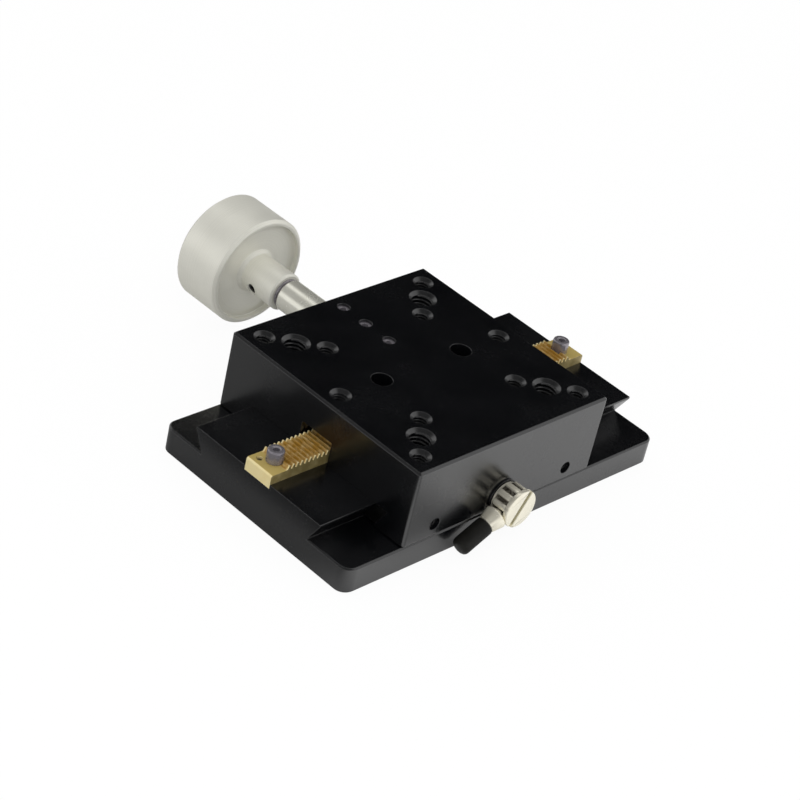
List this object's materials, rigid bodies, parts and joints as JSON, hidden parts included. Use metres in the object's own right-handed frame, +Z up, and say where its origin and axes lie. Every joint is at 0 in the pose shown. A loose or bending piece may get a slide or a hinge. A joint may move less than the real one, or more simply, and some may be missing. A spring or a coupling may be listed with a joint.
{
  "type": "linear translation stage",
  "caption": "Compact dovetail linear stage: a square carriage with tapped mounting holes, moved along a brass rack by a side knob and clamped by a small lever.",
  "frame": {"origin": "centre of the base plate's underside", "axes": "+X along the travel, +Y towards the knob, +Z up from the base to the carriage top. The carriage rests 4 mm towards -X from the base's centre."},
  "size_m": [0.1, 0.1033, 0.0329],
  "materials": {
    "black_anodised": "fine matte black anodising",
    "brass": "milled bare brass",
    "gib_steel": "ground and blackened bearing strip",
    "gear_brass": "cut bare brass",
    "steel": "bare stainless steel",
    "dark_steel": "black oxide",
    "polished_nickel": "warm bright nickel plating",
    "satin_aluminium": "satin turned and clear anodised",
    "black_plastic": "matte moulded sleeve"
  },
  "bodies": {
    "base": {"base_plate": "black_anodised", "rack": "brass", "rack_screws": "steel", "rack_pins": "steel"},
    "carriage": {"carriage_block": "black_anodised", "gib": "gib_steel", "gib_screws": "dark_steel", "lock_pad": "brass", "pinion_bush": "polished_nickel", "bush_screws": "steel", "lock_washer": "dark_steel"},
    "drive": {"pinion": "gear_brass", "pinion_shaft": "steel", "pinion_pin": "steel", "shaft_clip": "dark_steel", "thrust_washer": "brass", "wave_washer": "steel", "knob": "satin_aluminium", "knob_screw": "dark_steel"},
    "lock": {"lock_screw": "polished_nickel", "lever_arm": "polished_nickel", "lever_grip": "black_plastic"}
  },
  "joints": [
    {"name": "carriage_slide", "type": "slide", "parent": "base", "child": "carriage", "axis": [1, 0, 0], "range_m": [-0.035, 0.043]},
    {"name": "knob_turn", "type": "hinge", "parent": "carriage", "child": "drive", "pos_m": [-0.004, 0.03, 0.0192], "axis": [0, 1, 0], "range_deg": [-456, 560]},
    {"name": "lock_turn", "type": "hinge", "parent": "carriage", "child": "lock", "pos_m": [-0.004, -0.033, 0.00971], "axis": [0, 1, 0], "range_deg": [0, 75]}
  ],
  "couplings": [
    {"joint": "knob_turn", "follows": "carriage_slide", "rad_per_m": 227.27}
  ]
}
